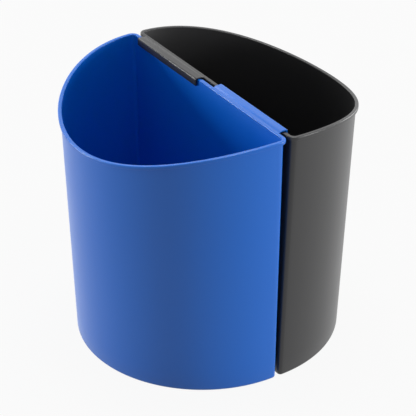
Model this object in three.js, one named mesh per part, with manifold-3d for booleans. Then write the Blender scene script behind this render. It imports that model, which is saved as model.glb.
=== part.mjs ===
// A pair of half-round open waste bins, hooked back to back over each other's rim.
//
// Both bins are the same moulding: a thin-walled shell with a flat back wall, a half-elliptic curved wall
// and a turned-down rim that dips towards the middle of the curve. Half of the flat rim carries a ledge with
// a hanging lip; the other half is set down a little, so that the other bin's ledge lies over it.
//
// Frame: X along the two flat walls, Y across the seam between them, Z up. The origin is on the floor, under
// the middle of the seam. Lengths are millimetres.

import * as THREE from 'three';
import { mergeVertices } from 'three/addons/utils/BufferGeometryUtils.js';
import Module from 'manifold-3d';

// ---- the bin's size
const RIM_HEIGHT = 330; // floor to the rim along the flat wall
const RIM_DIP = 36; // how much lower the rim is at the middle of the curved wall
const RIM_DIP_POWER = 2.1; // the dip grows as this power of the way across from the flat side
const RIM_LENGTH = 336.4; // over the rim, along the flat wall
const RIM_DEPTH = 177.7; // over the rim, from the flat side to the middle of the curve
const BASE_LENGTH = 316.2; // outside, along the flat wall at the floor
const BASE_DEPTH = 164.4; // outside, flat wall to the middle of the curve at the floor
const WALL = 1.8;
const FLOOR = 2.4;
const TOP_CORNER_RADIUS = 7; // upright corners between flat and curved wall, outside, under the rim
const BASE_CORNER_RADIUS = 5; // the same corners at the floor
const SMALLEST_CORNER_RADIUS = 1; // the same corners, far inside the outline

// ---- the rim: the wall turns outwards at the top and down again into a short skirt
const RIM_OVERHANG = 2.9; // skirt's outer face, out from the wall
const RIM_SKIRT_HEIGHT = 4.4; // top of the rim to the skirt's lower edge
const RIM_SKIRT_THICKNESS = 1.5;
const RIM_TOP_THICKNESS = 1.8;
const RIM_OUTER_ROUND = 1.3;
const RIM_INNER_ROUND = 1.2;
const SKIRT_EDGE_ROUND = 0.5;

// ---- the underside: a standing edge round a raised panel
const BASE_EDGE_ROUND = 3.5;
const FOOT_WIDTH = 7; // standing edge, from the wall's outer face to the raised panel
const PANEL_RISE = 3;
const PANEL_SLOPE = 2.5; // width of the slope from the standing edge up to the panel
const INNER_FLOOR_ROUND = 5;

// ---- the seam and the hook ledge
const RIM_GAP = 3.4; // between the two flat rims
const BASE_GAP = 4; // between the two flat walls at the floor
const LEDGE_START = 14; // ledge's end near the middle, from the seam's middle
const LEDGE_SETBACK = 20; // ledge's end near the upright corner, back from the end of the rim
const LEDGE_RISE = 1.4; // ledge's crown over the rim
const LEDGE_THICKNESS = 1.8;
const LEDGE_RISE_WIDTH = 5; // width over which the ledge climbs from the rim to its crown
const LEDGE_EDGE_ROUND = 2;
const LEDGE_ROOT = 2.5; // how far the ledge reaches back into the rim it grows from
const LIP_THICKNESS = 2.2;
const LIP_DEPTH = 9; // lip's lower edge, under the rim
const LIP_CLEARANCE = 1.2; // lip to the inside of the other bin's flat wall
const LEDGE_ROOT_CLEARANCE = 0.4; // ledge's root to the other bin's rim

// ---- the seat: the half of the flat rim that is set down under the other bin's ledge
const SEAT_DROP = 1;
const SEAT_MARGIN = 1.5; // seat runs on past both ends of the ledge that lies in it
const SEAT_RAMP = 3;

// ---- colours
const BLUE = 0x1f5fc4;
const BLACK = 0x2b2b2d;

// ---- fineness
const CURVE_STEPS = 64;
const CORNER_STEPS = 5;
const ROUND_STEPS = 4;

// Plan of the bin. Every ring of the shell is an offset of one "spine": a half ellipse whose ends and flat
// side are the centres of the upright corner rounds. A ring's offset is counted from the wall's outer face.
const rimReach = TOP_CORNER_RADIUS + RIM_OVERHANG;
const flatWallPlane = RIM_GAP / 2 + RIM_OVERHANG;
const topSpine = {
  halfLength: RIM_LENGTH / 2 - rimReach,
  depth: RIM_DEPTH - 2 * rimReach,
  plane: flatWallPlane + TOP_CORNER_RADIUS,
};
const baseSpine = {
  halfLength: BASE_LENGTH / 2 - BASE_CORNER_RADIUS,
  depth: BASE_DEPTH - 2 * BASE_CORNER_RADIUS,
  plane: BASE_GAP / 2 + BASE_CORNER_RADIUS,
};

const ledgeEnd = RIM_LENGTH / 2 - LEDGE_SETBACK;
const seat = {
  from: LEDGE_START - SEAT_MARGIN,
  to: ledgeEnd + SEAT_MARGIN,
};

// How far the flat rim is set down at x: nothing outside the seat, SEAT_DROP inside it, a ramp between.
function seatDrop(x) {
  const inside = Math.min(x - seat.from, seat.to - x) + SEAT_RAMP;
  return SEAT_DROP * THREE.MathUtils.clamp(inside / SEAT_RAMP, 0, 1);
}

// The stations once round the plan, anticlockwise seen from above for a bin on the +Y side of the seam.
// bend tells where on the half ellipse the spine point lies and turn, in the corners, where the outward
// normal points. The flat side's stations have flatX instead, their place as a share of its half length.
function planStations() {
  const stations = [];
  for (let i = 0; i <= CURVE_STEPS; i++) stations.push({ bend: (Math.PI * i) / CURVE_STEPS });
  for (let i = 1; i <= CORNER_STEPS; i++) {
    stations.push({ bend: Math.PI, turn: Math.PI + ((Math.PI / 2) * i) / CORNER_STEPS });
  }
  for (const x of [seat.from - SEAT_RAMP, seat.from, seat.to, seat.to + SEAT_RAMP]) {
    stations.push({ flatX: x / topSpine.halfLength });
  }
  for (let i = 0; i < CORNER_STEPS; i++) {
    stations.push({ bend: 0, turn: -Math.PI / 2 + ((Math.PI / 2) * i) / CORNER_STEPS });
  }
  return stations;
}

// The direction of the outward normal at a station of a half ellipse.
function outwardTurn(station, halfLength, depth) {
  return station.turn ?? Math.atan2(Math.sin(station.bend) / depth, Math.cos(station.bend) / halfLength);
}

// Height of the rim's top at a station: it is set down in the seat, and along the curve it dips with the way
// that its outer edge has gone across from the flat side.
function rimTop(station) {
  if (station.flatX !== undefined) return RIM_HEIGHT - seatDrop(station.flatX * topSpine.halfLength);
  const turn = outwardTurn(station, topSpine.halfLength, topSpine.depth);
  const across = rimReach * (1 + Math.sin(turn)) + topSpine.depth * Math.sin(station.bend);
  return RIM_HEIGHT - RIM_DIP * (across / RIM_DEPTH) ** RIM_DIP_POWER;
}

// A point of the shell: the spine of this height, moved out along the station's normal. Further in than the
// corner rounds reach, the spine itself draws in.
function shellPoint(station, z, offset) {
  const share = z / rimTop(station);
  const cornerRadius = THREE.MathUtils.lerp(BASE_CORNER_RADIUS, TOP_CORNER_RADIUS, share);
  const drawnIn = Math.max(0, SMALLEST_CORNER_RADIUS - cornerRadius - offset);
  const halfLength = THREE.MathUtils.lerp(baseSpine.halfLength, topSpine.halfLength, share) - drawnIn;
  const depth = THREE.MathUtils.lerp(baseSpine.depth, topSpine.depth, share) - 2 * drawnIn;
  const plane = THREE.MathUtils.lerp(baseSpine.plane, topSpine.plane, share) + drawnIn;
  const reach = cornerRadius + offset + drawnIn;
  if (station.flatX !== undefined) return new THREE.Vector3(station.flatX * halfLength, plane - reach, z);
  const turn = outwardTurn(station, halfLength, depth);
  return new THREE.Vector3(
    Math.cos(station.bend) * halfLength + reach * Math.cos(turn),
    plane + Math.sin(station.bend) * depth + reach * Math.sin(turn),
    z,
  );
}

// A quarter round in a wall section, as [offset, height] pairs, from angle a to angle b in degrees.
function round(centreOffset, centreHeight, radius, a, b) {
  const points = [];
  for (let i = 0; i <= ROUND_STEPS; i++) {
    const angle = THREE.MathUtils.degToRad(THREE.MathUtils.lerp(a, b, i / ROUND_STEPS));
    points.push([centreOffset + radius * Math.cos(angle), centreHeight + radius * Math.sin(angle)]);
  }
  return points;
}

// The wall's section near the floor: [offset, height over the floor].
function outerBaseSection() {
  return [
    [-FOOT_WIDTH - PANEL_SLOPE, PANEL_RISE],
    [-FOOT_WIDTH, 0],
    ...round(-BASE_EDGE_ROUND, BASE_EDGE_ROUND, BASE_EDGE_ROUND, -90, 0),
  ];
}

function innerBaseSection() {
  const floorTop = PANEL_RISE + FLOOR;
  return round(-WALL - INNER_FLOOR_ROUND, floorTop + INNER_FLOOR_ROUND, INNER_FLOOR_ROUND, 0, -90);
}

// The rim's section: [offset, height over the rim's top], from the wall's outer face round to the inner one.
function rimSection() {
  const skirtInside = RIM_OVERHANG - RIM_SKIRT_THICKNESS;
  return [
    [0, -RIM_TOP_THICKNESS],
    [skirtInside, -RIM_TOP_THICKNESS],
    [skirtInside, -RIM_SKIRT_HEIGHT],
    ...round(RIM_OVERHANG - SKIRT_EDGE_ROUND, -RIM_SKIRT_HEIGHT + SKIRT_EDGE_ROUND, SKIRT_EDGE_ROUND, -90, 0),
    ...round(RIM_OVERHANG - RIM_OUTER_ROUND, -RIM_OUTER_ROUND, RIM_OUTER_ROUND, 0, 90),
    ...round(-WALL + RIM_INNER_ROUND, -RIM_INNER_ROUND, RIM_INNER_ROUND, 90, 180),
  ];
}

// Joins the rings into one closed skin, with a flat fan over the first ring and the last.
function loft(rings) {
  const vertices = [];
  const count = rings[0].length;
  for (const ring of rings) for (const point of ring) vertices.push(...point.toArray());
  const triangles = [];
  for (let r = 0; r + 1 < rings.length; r++) {
    for (let i = 0; i < count; i++) {
      const j = (i + 1) % count;
      const [a, b] = [r * count + i, r * count + j];
      const [c, d] = [a + count, b + count];
      triangles.push(a, b, d, a, d, c);
    }
  }
  const cap = (ring, firstIndex, facesUp) => {
    const centre = ring.reduce((sum, point) => sum.add(point), new THREE.Vector3()).divideScalar(count);
    const centreIndex = vertices.length / 3;
    vertices.push(...centre.toArray());
    for (let i = 0; i < count; i++) {
      const [a, b] = [firstIndex + i, firstIndex + ((i + 1) % count)];
      triangles.push(...(facesUp ? [a, b, centreIndex] : [b, a, centreIndex]));
    }
  };
  cap(rings[0], 0, false);
  cap(rings[rings.length - 1], (rings.length - 1) * count, true);
  const geometry = new THREE.BufferGeometry();
  geometry.setAttribute('position', new THREE.Float32BufferAttribute(vertices, 3));
  geometry.setIndex(triangles);
  return geometry;
}

function shellGeometry() {
  const stations = planStations();
  const levelRing = ([offset, z]) => stations.map((station) => shellPoint(station, z, offset));
  const rimRing = ([offset, drop]) => stations.map((station) => shellPoint(station, rimTop(station) + drop, offset));
  return loft([
    ...outerBaseSection().map(levelRing),
    ...rimSection().map(rimRing),
    ...innerBaseSection().map(levelRing),
  ]);
}

// The ledge's section, drawn in (distance across the seam, height over the rim), the other bin lying at +.
function ledgeShape() {
  const root = -RIM_GAP / 2; // outer face of the rim that the ledge grows from
  const lipInside = flatWallPlane + WALL + LIP_CLEARANCE;
  const lipOutside = lipInside + LIP_THICKNESS;
  const underside = LEDGE_RISE - LEDGE_THICKNESS;
  const neck = RIM_GAP / 2 - LEDGE_ROOT_CLEARANCE;
  const shape = new THREE.Shape();
  shape.moveTo(root - LEDGE_ROOT, -RIM_TOP_THICKNESS / 2);
  shape.lineTo(root - LEDGE_ROOT, 0);
  shape.lineTo(root, 0);
  shape.quadraticCurveTo(root + LEDGE_RISE_WIDTH / 2, LEDGE_RISE, root + LEDGE_RISE_WIDTH, LEDGE_RISE);
  shape.lineTo(lipOutside - LEDGE_EDGE_ROUND, LEDGE_RISE);
  shape.absarc(lipOutside - LEDGE_EDGE_ROUND, LEDGE_RISE - LEDGE_EDGE_ROUND, LEDGE_EDGE_ROUND, Math.PI / 2, 0, true);
  shape.lineTo(lipOutside, -LIP_DEPTH + LIP_THICKNESS / 2);
  shape.absarc(lipInside + LIP_THICKNESS / 2, -LIP_DEPTH + LIP_THICKNESS / 2, LIP_THICKNESS / 2, 0, Math.PI, true);
  shape.lineTo(lipInside, underside);
  shape.lineTo(neck, underside);
  shape.lineTo(root, -RIM_TOP_THICKNESS);
  shape.lineTo(root - RIM_SKIRT_THICKNESS / 2, -RIM_TOP_THICKNESS);
  return shape;
}

// The ledge grows from a bin on the +Y side, so its section's axis across the seam points to -Y.
function ledgeGeometry() {
  const options = { depth: ledgeEnd - LEDGE_START, bevelEnabled: false, curveSegments: ROUND_STEPS };
  const geometry = new THREE.ExtrudeGeometry(ledgeShape(), options);
  // section x -> -Y, section y -> +Z, extrusion -> -X
  const basis = new THREE.Matrix4().makeBasis(
    new THREE.Vector3(0, -1, 0),
    new THREE.Vector3(0, 0, 1),
    new THREE.Vector3(-1, 0, 0),
  );
  geometry.applyMatrix4(basis);
  geometry.translate(-LEDGE_START, 0, RIM_HEIGHT);
  return geometry;
}

const wasm = await Module();
wasm.setup();

function toSolid(geometry) {
  const bare = geometry.clone();
  for (const name of Object.keys(bare.attributes)) if (name !== 'position') bare.deleteAttribute(name);
  const merged = mergeVertices(bare, 1e-4);
  return new wasm.Manifold(new wasm.Mesh({
    numProp: 3,
    vertProperties: new Float32Array(merged.attributes.position.array),
    triVerts: new Uint32Array(merged.index.array),
  }));
}

function toGeometry(solid) {
  const mesh = solid.getMesh();
  const geometry = new THREE.BufferGeometry();
  geometry.setAttribute('position', new THREE.BufferAttribute(mesh.vertProperties, 3));
  geometry.setIndex(new THREE.BufferAttribute(mesh.triVerts, 1));
  geometry.computeVertexNormals();
  return geometry;
}

function binGeometry() {
  return toGeometry(toSolid(shellGeometry()).add(toSolid(ledgeGeometry())));
}

function plastic(name, colour, roughness) {
  return new THREE.MeshStandardMaterial({ name, color: colour, roughness, metalness: 0 });
}

const moulding = binGeometry();

const blackBin = new THREE.Mesh(moulding, plastic('black_polypropylene', BLACK, 0.5));
blackBin.name = 'black_bin';

const blueBin = new THREE.Mesh(moulding, plastic('blue_polypropylene', BLUE, 0.45));
blueBin.name = 'blue_bin';
blueBin.rotation.z = Math.PI;

const doubleBin = new THREE.Group();
doubleBin.name = 'double_recycling_bin';
doubleBin.add(blueBin, blackBin);

export default doubleBin;
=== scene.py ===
"""Dresses a pair of half-round recycling bins, hooked back to back, and sets them on a studio floor."""

import math

import bmesh
import bpy
from bpy.props import FloatProperty, FloatVectorProperty, PointerProperty
from mathutils import Matrix, Vector


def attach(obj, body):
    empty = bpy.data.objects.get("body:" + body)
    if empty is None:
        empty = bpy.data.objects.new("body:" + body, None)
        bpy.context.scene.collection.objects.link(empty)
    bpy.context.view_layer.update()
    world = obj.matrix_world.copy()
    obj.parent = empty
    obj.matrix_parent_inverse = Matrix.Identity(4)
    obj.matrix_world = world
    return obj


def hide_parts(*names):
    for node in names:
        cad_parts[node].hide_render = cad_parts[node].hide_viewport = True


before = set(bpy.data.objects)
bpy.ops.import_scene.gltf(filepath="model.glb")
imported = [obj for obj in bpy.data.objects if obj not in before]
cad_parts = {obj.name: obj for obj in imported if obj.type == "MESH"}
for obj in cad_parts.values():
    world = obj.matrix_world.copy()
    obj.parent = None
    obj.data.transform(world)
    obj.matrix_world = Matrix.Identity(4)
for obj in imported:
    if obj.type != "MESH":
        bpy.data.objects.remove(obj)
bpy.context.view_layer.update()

bl_info = {
    "name": "Double Recycling Bin",
    "version": (1, 0, 0),
    "blender": (4, 5, 0),
    "location": "3D View > Sidebar > Recycling Bin",
    "description": "Two half-round moulded bins that hook over each other's flat rim",
    "category": "Object",
}

MM = 0.001

# fineness of the mouldings
CURVE_STEPS = 160
CORNER_STEPS = 10
FLAT_STEPS = 56
WALL_STEPS = 14
ROUND_STEPS = 6
BEVEL_STEPS = 3
BEVEL_PROFILE = 0.5  # a plain round
SUPPORT = 0.6 * MM  # ring kept this close to an edge, so that the flat beyond it shades flat
SHARP_ANGLE = math.radians(31)  # edges that turn further stay sharp, the steps of a round turn less

# the two plastics, which are polypropylene with a fine moulded grain
BLUE, BLACK = "0066cc", "2c2c2d"
BLUE_ROUGHNESS, BLACK_ROUGHNESS = 0.31, 0.34
GLOSS_DRIFT = 0.03  # how far the roughness drifts either way
FLOW_PATCH = 60 * MM  # width of the patches in which it drifts
REFRACTION = 1.49

# Soft boxes: name, azimuth as seen from the bins in degrees, height of the middle, distance and edge in
# metres, and watts. The low ones light the walls and hardly the floor.
SOFTBOXES = (
    ("right_low_softbox", 42, 0.36, 2.4, 0.7, 37),
    ("right_back_softbox", 95, 0.5, 2.4, 0.9, 22),
    ("left_low_softbox", 229, 0.36, 2.4, 0.7, 32),
    ("left_back_softbox", 182, 1.18, 2.4, 1.2, 10),
    ("back_high_softbox", 147, 2.0, 2.4, 1.2, 5),
    ("top_softbox", 147, 2.56, 2.4, 0.8, 28),
)
LAMP_AIM = 170 * MM  # height of the point that they face
ROOM_LIGHT = 0.38  # strength of the white surroundings as a light
FLOOR_REACH = 6  # metres from the middle of the floor to its edges
FLOOR_PAPER = "a0a0a0"
FLOOR_WHITE = 0.93  # share of plain white in the floor as it is shown; the rest is the paper with its shadow

# The camera: its turn from -Y towards +X, its angle over the horizon and its roll, in degrees; the height
# that it faces, its distance from there and how far it is then moved up in the view; its focal length and
# sensor in millimetres.
CAMERA_ANGLES = (57.31, 30.63, -0.337)
CAMERA_AIM, CAMERA_DISTANCE, CAMERA_RISE = 165 * MM, 2035.9 * MM, -6.1 * MM
FOCAL_LENGTH, SENSOR_WIDTH = 143.65, 36.0
CAMERA_CLIP = (0.05, 50)  # nearest and furthest, in metres


def linear(hex_colour):
    """An sRGB hex colour as linear RGB."""
    channels = [int(hex_colour[i : i + 2], 16) / 255 for i in (0, 2, 4)]
    return [c / 12.92 if c <= 0.04045 else ((c + 0.055) / 1.055) ** 2.4 for c in channels]


def length_property(name, description, millimetres):
    return FloatProperty(
        name=name, description=description, default=millimetres * MM, min=0.0, precision=4, unit="LENGTH"
    )


def colour_property(name, description, hex_colour):
    return FloatVectorProperty(
        name=name, description=description, subtype="COLOR", default=linear(hex_colour), min=0.0, max=1.0
    )


class BinSizes(bpy.types.PropertyGroup):
    """Sizes of one moulding. Both bins share them."""

    rim_height: length_property("Rim Height", "Floor to the flat rim", 330)
    rim_dip: length_property("Rim Dip", "How much lower the rim is at the middle of the curved wall", 36)
    rim_dip_power: FloatProperty(
        name="Rim Dip Power",
        description="The dip grows as this power of the way across from the flat side",
        default=2.1,
    )
    rim_length: length_property("Rim Length", "Over the rim, along the flat wall", 336.4)
    rim_depth: length_property("Rim Depth", "Over the rim, flat side to the middle of the curve", 177.7)
    base_length: length_property("Base Length", "The same at the floor, without the rim", 316.2)
    base_depth: length_property("Base Depth", "The same at the floor, without the rim", 164.4)
    wall: length_property("Wall", "Thickness of the walls", 1.8)
    floor: length_property("Floor", "Thickness of the floor", 2.4)
    top_corner_radius: length_property("Top Corner Radius", "Upright corners outside, under the rim", 7)
    base_corner_radius: length_property("Base Corner Radius", "Upright corners outside, at the floor", 5)
    inner_corner_radius: length_property("Inner Corner Radius", "The same corners, far inside the outline", 1)
    rim_overhang: length_property("Rim Overhang", "Outer face of the rim's skirt, out from the wall", 2.9)
    skirt_height: length_property("Skirt Height", "Top of the rim to the lower edge of its skirt", 4.4)
    skirt_thickness: length_property("Skirt Thickness", "Thickness of the rim's skirt", 1.5)
    rim_thickness: length_property("Rim Thickness", "Thickness of the rim's top", 1.8)
    rim_outer_round: length_property("Rim Outer Round", "Radius of the rim's outer edge", 1.3)
    rim_inner_round: length_property("Rim Inner Round", "Radius of the rim's inner edge", 1.2)
    skirt_round: length_property("Skirt Round", "Radius of the skirt's lower edge", 0.5)
    base_round: length_property("Base Round", "Radius of the lower outside edge", 3.5)
    foot_width: length_property("Foot Width", "Standing edge round the raised panel underneath", 7)
    panel_rise: length_property("Panel Rise", "How far the panel underneath is raised off the floor", 3)
    panel_slope: length_property("Panel Slope", "Width of the slope up to that panel", 2.5)
    inner_floor_round: length_property("Inner Floor Round", "Radius inside, between wall and floor", 5)
    rim_gap: length_property("Rim Gap", "Between the two flat rims", 3.4)
    base_gap: length_property("Base Gap", "Between the two flat walls at the floor", 4)


class HookSizes(bpy.types.PropertyGroup):
    """Sizes of the ledge that hooks one bin over the other's flat rim, and of the seat it lies in."""

    start: length_property("Ledge Start", "From the middle of the seam to the ledge's near end", 14)
    end: length_property("Ledge End", "From the middle of the seam to the ledge's far end", 148.2)
    rise: length_property("Ledge Rise", "Crown of the ledge over the rim", 1.4)
    thickness: length_property("Ledge Thickness", "Thickness of the ledge's plate", 1.8)
    rise_width: length_property("Rise Width", "Width over which the ledge climbs to its crown", 5)
    edge_round: length_property("Edge Round", "Radius of the ledge's outer edge", 2)
    end_round: length_property("End Round", "Radius of the edges at the ledge's ends", 0.35)
    root: length_property("Ledge Root", "How far the ledge reaches back into its own rim", 2.5)
    root_clearance: length_property("Root Clearance", "Ledge's root to the other bin's rim", 0.4)
    lip_thickness: length_property("Lip Thickness", "Thickness of the hanging lip", 2.2)
    lip_depth: length_property("Lip Depth", "Lower edge of the lip, under the rim", 9)
    lip_clearance: length_property("Lip Clearance", "Lip to the inside of the other bin's wall", 1.2)
    seat_drop: length_property("Seat Drop", "How far the rim is set down under the other bin's ledge", 1)
    seat_margin: length_property("Seat Margin", "How far the seat runs on past that ledge", 1.5)
    seat_ramp: length_property("Seat Ramp", "Length of the ramp at each end of the seat", 3)


class Finishes(bpy.types.PropertyGroup):
    """Colours and grain of the two plastics."""

    blue: colour_property("Blue", "Colour of the blue plastic", BLUE)
    black: colour_property("Black", "Colour of the black plastic", BLACK)
    grain: length_property("Grain", "Width of one grain of the moulded texture, as drawn", 0.9)


# ---- the moulding's shape


def plan(sizes):
    """The values that every ring of a moulding shares. A ring is an offset of a half-elliptic spine, whose
    ends and flat side are the centres of the upright corner rounds."""
    reach, radius = sizes.rim_overhang + sizes.top_corner_radius, sizes.base_corner_radius
    return {
        "reach": reach,
        "top": (sizes.rim_length / 2 - reach, sizes.rim_depth - 2 * reach, sizes.rim_gap / 2 + reach),
        "base": (sizes.base_length / 2 - radius, sizes.base_depth - 2 * radius, sizes.base_gap / 2 + radius),
    }


def outward_turn(bend, turn, half_length, depth):
    """The direction of the outward normal at a station of a half ellipse."""
    return math.atan2(math.sin(bend) / depth, math.cos(bend) / half_length) if turn is None else turn


def stations(sizes, hook):
    """Stations once round the plan, anticlockwise from above for a bin on the +Y side: (bend, turn, x). bend
    is the place on the half ellipse, turn the direction of the outward normal where the corner fixes it, x the
    place along the flat side."""
    half = plan(sizes)["top"][0]
    seat_from, seat_to = hook.start - hook.seat_margin, hook.end + hook.seat_margin
    found = [(math.pi * i / CURVE_STEPS, None, None) for i in range(CURVE_STEPS + 1)]
    found += [(math.pi, math.pi * (1 + i / CORNER_STEPS / 2), None) for i in range(1, CORNER_STEPS + 1)]
    places = {seat_from - hook.seat_ramp, seat_from, seat_to, seat_to + hook.seat_ramp}
    places |= {half * (2 * i / FLAT_STEPS - 1) for i in range(1, FLAT_STEPS)}
    found += [(None, None, x) for x in sorted(places)]
    found += [(0, math.pi / 2 * (i / CORNER_STEPS - 1), None) for i in range(CORNER_STEPS)]
    return found


def rim_top(sizes, hook, station):
    """Height of the rim's top: along the curve it dips with the way that its outer edge has gone across from
    the flat side, and it is set down in the seat."""
    bend, turn, x = station
    if x is None:
        shape = plan(sizes)
        turn = outward_turn(bend, turn, *shape["top"][:2])
        across = shape["reach"] * (1 + math.sin(turn)) + shape["top"][1] * math.sin(bend)
        return sizes.rim_height - sizes.rim_dip * max(across / sizes.rim_depth, 0) ** sizes.rim_dip_power
    seat_from, seat_to = hook.start - hook.seat_margin, hook.end + hook.seat_margin
    share = min(x - seat_from, seat_to - x) / hook.seat_ramp + 1
    return sizes.rim_height - hook.seat_drop * min(max(share, 0), 1)


def shell_point(sizes, hook, station, z, offset):
    """The spine of this height moved out along the station's normal. Further in than the corner rounds reach,
    the spine itself draws in."""
    bend, turn, x = station
    shape = plan(sizes)
    share = z / rim_top(sizes, hook, station)
    corner_radius = sizes.base_corner_radius + (sizes.top_corner_radius - sizes.base_corner_radius) * share
    drawn_in = max(0, sizes.inner_corner_radius - corner_radius - offset)
    half_length, depth, plane = (b + (t - b) * share for b, t in zip(shape["base"], shape["top"]))
    half_length, depth, plane = half_length - drawn_in, depth - 2 * drawn_in, plane + drawn_in
    reach = corner_radius + offset + drawn_in
    if x is not None:
        return Vector((x / shape["top"][0] * half_length, plane - reach, z))
    turn = outward_turn(bend, turn, half_length, depth)
    across = plane + math.sin(bend) * depth + reach * math.sin(turn)
    return Vector((math.cos(bend) * half_length + reach * math.cos(turn), across, z))


def rounded(centre, radius, from_degrees, to_degrees):
    """Points of a round in a section, as (across, up) pairs."""
    across, up = centre
    angles = [from_degrees + (to_degrees - from_degrees) * i / ROUND_STEPS for i in range(ROUND_STEPS + 1)]
    return [
        (across + radius * math.cos(math.radians(angle)), up + radius * math.sin(math.radians(angle)))
        for angle in angles
    ]


def wall_section(sizes):
    """The section of the wall in three runs of (offset, height): from the panel underneath up the outside,
    round the rim, and the round inside at the floor. The rim's heights count from its top, the others from the
    ground."""
    foot, slope, rise = sizes.foot_width, sizes.panel_slope, sizes.panel_rise
    outer = [(-foot - slope - SUPPORT, rise), (-foot - slope, rise), (-foot, 0), (-foot + SUPPORT, 0)]
    outer += rounded((-sizes.base_round, sizes.base_round), sizes.base_round, -90, 0)
    overhang, underside = sizes.rim_overhang, -sizes.rim_thickness
    skirt_inside, skirt_foot = overhang - sizes.skirt_thickness, -sizes.skirt_height
    skirt_round, outer_round, inner_round = sizes.skirt_round, sizes.rim_outer_round, sizes.rim_inner_round
    rim = [(0, underside), (skirt_inside, underside), (skirt_inside, skirt_foot)]
    rim += rounded((overhang - skirt_round, skirt_foot + skirt_round), skirt_round, -90, 0)
    rim += rounded((overhang - outer_round, -outer_round), outer_round, 0, 90)
    rim += rounded((inner_round - sizes.wall, -inner_round), inner_round, 90, 180)
    floor_top, floor_round = rise + sizes.floor, sizes.inner_floor_round
    inner = rounded((-sizes.wall - floor_round, floor_top + floor_round), floor_round, 0, -90)
    inner += [(-sizes.wall - floor_round - SUPPORT, floor_top)]
    return outer, rim, inner


def wall_rings(sizes, hook):
    """All rings of the moulding, each a list of points round the plan."""
    around = stations(sizes, hook)
    outer, rim, inner = wall_section(sizes)

    def level(offset, z):
        return [shell_point(sizes, hook, s, z, offset) for s in around]

    def under_rim(offset, drop):
        return [shell_point(sizes, hook, s, rim_top(sizes, hook, s) + drop, offset) for s in around]

    def between(low, high):
        return [[a.lerp(b, i / WALL_STEPS) for a, b in zip(low, high)] for i in range(1, WALL_STEPS)]

    outer_rings = [level(*point) for point in outer]
    rim_rings = [under_rim(*point) for point in rim]
    inner_rings = [level(*point) for point in inner]
    below_rim = under_rim(0, -sizes.rim_thickness - SUPPORT)
    outside = between(outer_rings[-1], below_rim)
    inside = between(rim_rings[-1], inner_rings[0])
    return outer_rings + outside + [below_rim] + rim_rings + inside + inner_rings


def loft(mesh, rings):
    """Joins rings into one closed skin of quads, with a flat face over the first ring and the last."""
    rows = [[mesh.verts.new(point) for point in ring] for ring in rings]
    for lower, upper in zip(rows, rows[1:]):
        for i in range(len(lower)):
            j = (i + 1) % len(lower)
            mesh.faces.new((lower[i], lower[j], upper[j], upper[i]))
    mesh.faces.new(reversed(rows[0]))
    mesh.faces.new(rows[-1])


def ledge_section(sizes, hook):
    """The ledge's section: (distance across the seam towards the other bin, height over the rim)."""
    root = -sizes.rim_gap / 2
    lip_inside = sizes.rim_gap / 2 + sizes.rim_overhang + sizes.wall + hook.lip_clearance
    lip_outside = lip_inside + hook.lip_thickness
    neck = sizes.rim_gap / 2 - hook.root_clearance
    half_lip = hook.lip_thickness / 2
    points = [(root - hook.root, -sizes.rim_thickness / 2), (root - hook.root, 0), (root, 0)]
    for i in range(1, ROUND_STEPS + 1):  # a curve that starts at the crease and ends level on the crown
        t = i / ROUND_STEPS
        points.append((root + hook.rise_width * t, hook.rise * t * (2 - t)))
    points += rounded((lip_outside - hook.edge_round, hook.rise - hook.edge_round), hook.edge_round, 90, 0)
    points += rounded((lip_inside + half_lip, half_lip - hook.lip_depth), half_lip, 0, -180)
    points += [(lip_inside, hook.rise - hook.thickness), (neck, hook.rise - hook.thickness)]
    points += [(root, -sizes.rim_thickness), (root - sizes.skirt_thickness / 2, -sizes.rim_thickness)]
    return points


def ledge_mesh(sizes, hook):
    """The ledge of a bin on the +Y side: it reaches over the seam to -Y, on the -X half."""
    mesh = bmesh.new()
    ends = []
    for x in (-hook.start, -hook.end):
        ring = [Vector((x, -across, sizes.rim_height + up)) for across, up in ledge_section(sizes, hook)]
        ends.append([mesh.verts.new(point) for point in ring])
    near, far = ends
    for i in range(len(near)):
        j = (i + 1) % len(near)
        mesh.faces.new((near[i], far[i], far[j], near[j]))
    caps = [mesh.faces.new(near), mesh.faces.new(reversed(far))]
    bmesh.ops.recalc_face_normals(mesh, faces=mesh.faces)
    rims = [edge for cap in caps for edge in cap.edges]
    bmesh.ops.bevel(
        mesh, geom=rims, offset=hook.end_round, segments=BEVEL_STEPS, profile=BEVEL_PROFILE, affect="EDGES"
    )
    return mesh


def object_from(name, mesh):
    """An object in the scene made of this mesh, which is used up."""
    data = bpy.data.meshes.new(name)
    mesh.to_mesh(data)
    mesh.free()
    piece = bpy.data.objects.new(name, data)
    bpy.context.scene.collection.objects.link(piece)
    return piece


def moulding(name, plastic, half_turn):
    """One whole bin with its ledge grown into the rim. The bin on the -Y side is the same moulding after half
    a turn about Z."""
    sizes, hook = bpy.context.scene.bin_sizes, bpy.context.scene.bin_hook
    shell = bmesh.new()
    loft(shell, wall_rings(sizes, hook))
    bmesh.ops.recalc_face_normals(shell, faces=shell.faces)
    piece = object_from(name, shell)
    ledge = object_from(name + "_ledge", ledge_mesh(sizes, hook))
    union = piece.modifiers.new("ledge", "BOOLEAN")
    union.operation, union.solver, union.object = "UNION", "EXACT", ledge
    joined = bpy.data.meshes.new_from_object(piece.evaluated_get(bpy.context.evaluated_depsgraph_get()))
    if len(joined.vertices) <= len(piece.data.vertices):
        raise RuntimeError(f"{name}: the ledge did not join the rim")
    piece.modifiers.clear()
    piece.data = joined
    bpy.data.objects.remove(ledge)
    if half_turn:
        joined.transform(Matrix.Rotation(math.pi, 4, "Z"))
    joined.materials.clear()
    joined.materials.append(plastic)
    joined.shade_smooth()
    joined.set_sharp_from_angle(angle=SHARP_ANGLE)
    return piece


# ---- materials


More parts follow.
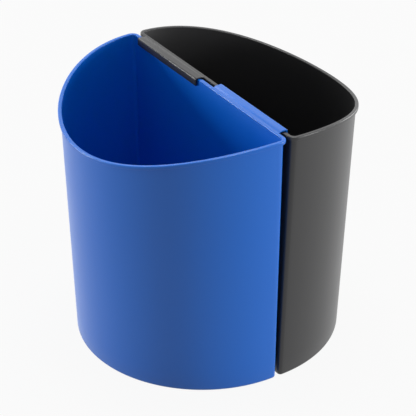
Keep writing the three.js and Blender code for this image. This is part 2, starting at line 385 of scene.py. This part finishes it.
def add_node(tree, kind, settings=None, links=None):
    """Adds a node. settings are its own properties or, for the name or number of one of its inputs, that
    input's value; links give an input the output of another node."""
    node = tree.nodes.new(kind)
    for key, value in (settings or {}).items():
        if isinstance(key, int) or key in node.inputs:
            node.inputs[key].default_value = value
        else:
            setattr(node, key, value)
    for key, output in (links or {}).items():
        tree.links.new(output, node.inputs[key])
    return node


def moulded_polypropylene(name, colour, roughness, grain):
    """Injection-moulded polypropylene with a fine spark-eroded grain. The grain spreads the reflection of a
    lamp into a soft sheen, slow drifts in gloss keep large walls from looking like glass, and the colour is in
    the plastic."""
    material = bpy.data.materials.new(name)
    material.use_nodes = True
    tree = material.node_tree
    tree.nodes.clear()
    place = add_node(tree, "ShaderNodeTexCoord").outputs["Object"]
    # real grain is 0.1 to 0.3 mm wide, too fine to show; it is drawn as wide as the grain setting says
    grains = add_node(
        tree, "ShaderNodeTexNoise", {"Scale": 1 / grain, "Detail": 2.0, "Roughness": 0.6}, {"Vector": place}
    )
    # flow of the melt: wide patches in which the gloss drifts a little
    flow = add_node(tree, "ShaderNodeTexNoise", {"Scale": 1 / FLOW_PATCH, "Detail": 3.0}, {"Vector": place})
    gloss = add_node(
        tree,
        "ShaderNodeMapRange",
        {"To Min": roughness - GLOSS_DRIFT, "To Max": roughness + GLOSS_DRIFT},
        {"Value": flow.outputs["Fac"]},
    )
    # a grain is up to 3 % lighter or darker than the plastic
    shade = add_node(
        tree, "ShaderNodeMapRange", {"To Min": 0.97, "To Max": 1.03}, {"Value": grains.outputs["Fac"]}
    )
    tint = add_node(
        tree,
        "ShaderNodeMix",
        # input 0 is the factor, 6 and 7 are the two colours
        {"data_type": "RGBA", "blend_type": "MULTIPLY", 0: 1.0, 6: (*colour, 1)},
        {7: shade.outputs["Result"]},
    )
    bump = add_node(
        tree, "ShaderNodeBump", {"Strength": 0.2, "Distance": 0.05 * MM}, {"Height": grains.outputs["Fac"]}
    )
    surface = add_node(
        tree,
        "ShaderNodeBsdfPrincipled",
        {"IOR": REFRACTION, "Metallic": 0.0},
        {
            "Base Color": tint.outputs[2],
            "Roughness": gloss.outputs["Result"],
            "Normal": bump.outputs["Normal"],
        },
    )
    add_node(tree, "ShaderNodeOutputMaterial", None, {"Surface": surface.outputs["BSDF"]})
    return material


# ---- the pieces and the stage


class RECYCLING_OT_blue_bin(bpy.types.Operator):
    """Adds the blue moulding in front of the seam, in place of its plain solid"""

    bl_idname = "recycling.blue_bin"
    bl_label = "Blue Bin"

    def execute(self, context):
        finish = context.scene.bin_finishes
        plastic = moulded_polypropylene(
            "blue_moulded_polypropylene", finish.blue, BLUE_ROUGHNESS, finish.grain
        )
        piece = moulding("blue_moulding", plastic, half_turn=True)
        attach(piece, "blue")
        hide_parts("blue_bin")
        return {"FINISHED"}


class RECYCLING_OT_black_bin(bpy.types.Operator):
    """Adds the black moulding behind the seam, in place of its plain solid"""

    bl_idname = "recycling.black_bin"
    bl_label = "Black Bin"

    def execute(self, context):
        finish = context.scene.bin_finishes
        plastic = moulded_polypropylene(
            "black_moulded_polypropylene", finish.black, BLACK_ROUGHNESS, finish.grain
        )
        piece = moulding("black_moulding", plastic, half_turn=False)
        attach(piece, "black")
        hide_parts("black_bin")
        return {"FINISHED"}


class RECYCLING_OT_stage(bpy.types.Operator):
    """Adds the floor, the studio lamps and the camera"""

    bl_idname = "recycling.stage"
    bl_label = "Stage"

    def execute(self, context):
        floor()
        lamps()
        camera()
        return {"FINISHED"}


def shown_ray(tree):
    """1 for the rays that show the background, to the camera, in a gloss or through a clear body, and 0 for
    the rays that only light."""
    path = add_node(tree, "ShaderNodeLightPath").outputs
    shown = path["Is Camera Ray"]
    for ray in ("Is Glossy Ray", "Is Transmission Ray"):
        either = add_node(tree, "ShaderNodeMath", {"operation": "MAXIMUM"}, {0: shown, 1: path[ray]})
        shown = either.outputs[0]
    return shown


def floor():
    """A wide floor of matt paper. It is shown so pale that it fades into the white surroundings, and keeps the
    soft shadow of the bins."""
    mesh = bmesh.new()
    bmesh.ops.create_grid(mesh, x_segments=1, y_segments=1, size=FLOOR_REACH)
    piece = object_from("studio_floor", mesh)
    material = bpy.data.materials.new("matt_grey_paper")
    material.use_nodes = True
    tree = material.node_tree
    tree.nodes.clear()
    white = add_node(tree, "ShaderNodeMath", {"operation": "MULTIPLY", 1: FLOOR_WHITE}, {0: shown_ray(tree)})
    paper = add_node(tree, "ShaderNodeBsdfDiffuse", {"Color": (*linear(FLOOR_PAPER), 1)})
    bright = add_node(tree, "ShaderNodeEmission", {"Color": (1, 1, 1, 1), "Strength": 1.0})
    mixed = add_node(
        tree, "ShaderNodeMixShader", None, {0: white.outputs[0], 1: paper.outputs[0], 2: bright.outputs[0]}
    )
    add_node(tree, "ShaderNodeOutputMaterial", None, {"Surface": mixed.outputs[0]})
    piece.data.materials.append(material)


def lamps():
    """The soft boxes, each turned to the middle of the bins, in white surroundings."""
    middle = Vector((0, 0, LAMP_AIM))
    for name, azimuth, height, distance, edge, watts in SOFTBOXES:
        turn = math.radians(azimuth)
        reach = math.sqrt(distance**2 - (height - middle.z) ** 2)
        away = Vector((math.cos(turn) * reach, math.sin(turn) * reach, height - middle.z))
        lamp = bpy.data.lights.new(name, "AREA")
        lamp.shape, lamp.size, lamp.energy = "SQUARE", edge, watts
        holder = bpy.data.objects.new(name, lamp)
        holder.location = middle + away
        holder.rotation_euler = away.to_track_quat("Z", "Y").to_euler()
        bpy.context.scene.collection.objects.link(holder)
    world = bpy.data.worlds.new("white_studio")
    bpy.context.scene.world = world
    world.use_nodes = True
    tree = world.node_tree
    tree.nodes.clear()
    strength = add_node(
        tree, "ShaderNodeMapRange", {"To Min": ROOM_LIGHT, "To Max": 1.0}, {"Value": shown_ray(tree)}
    )
    air = add_node(
        tree, "ShaderNodeBackground", {"Color": (1, 1, 1, 1)}, {"Strength": strength.outputs["Result"]}
    )
    add_node(tree, "ShaderNodeOutputWorld", None, {"Surface": air.outputs["Background"]})


def camera():
    """A long lens, a little above the rim, looking past the near end of the seam."""
    azimuth, elevation, roll = (math.radians(angle) for angle in CAMERA_ANGLES)
    level = math.cos(elevation)
    back = Vector((math.sin(azimuth) * level, -math.cos(azimuth) * level, math.sin(elevation)))
    right = Vector((math.cos(azimuth), math.sin(azimuth), 0))
    up = back.cross(right)
    right, up = right * math.cos(roll) - up * math.sin(roll), right * math.sin(roll) + up * math.cos(roll)
    place = Vector((0, 0, CAMERA_AIM)) + back * CAMERA_DISTANCE + up * CAMERA_RISE
    lens = bpy.data.cameras.new("camera")
    lens.sensor_width, lens.lens = SENSOR_WIDTH, FOCAL_LENGTH
    lens.clip_start, lens.clip_end = CAMERA_CLIP
    holder = bpy.data.objects.new("camera", lens)
    holder.matrix_world = Matrix.Translation(place) @ Matrix((right, up, back)).transposed().to_4x4()
    bpy.context.scene.collection.objects.link(holder)
    bpy.context.scene.camera = holder
    bpy.context.scene.view_settings.view_transform = "Standard"


class RECYCLING_PT_sidebar(bpy.types.Panel):
    """Lists the pieces, the sizes and the colours"""

    bl_idname = "RECYCLING_PT_sidebar"
    bl_label = "Double Recycling Bin"
    bl_space_type = "VIEW_3D"
    bl_region_type = "UI"
    bl_category = "Recycling Bin"

    def draw(self, context):
        for operator in PIECES:
            self.layout.operator(operator.bl_idname)
        for group in (context.scene.bin_sizes, context.scene.bin_hook, context.scene.bin_finishes):
            box = self.layout.box()
            for name in group.__annotations__:
                box.prop(group, name)


PIECES = (RECYCLING_OT_blue_bin, RECYCLING_OT_black_bin, RECYCLING_OT_stage)
CLASSES = (BinSizes, HookSizes, Finishes, *PIECES, RECYCLING_PT_sidebar)


def register():
    for cls in CLASSES:
        bpy.utils.register_class(cls)
    bpy.types.Scene.bin_sizes = PointerProperty(type=BinSizes)
    bpy.types.Scene.bin_hook = PointerProperty(type=HookSizes)
    bpy.types.Scene.bin_finishes = PointerProperty(type=Finishes)


def unregister():
    del bpy.types.Scene.bin_sizes, bpy.types.Scene.bin_hook, bpy.types.Scene.bin_finishes
    for cls in reversed(CLASSES):
        bpy.utils.unregister_class(cls)


def main():
    register()
    bpy.ops.recycling.blue_bin()
    bpy.ops.recycling.black_bin()
    bpy.ops.recycling.stage()


if __name__ == "__main__":
    main()
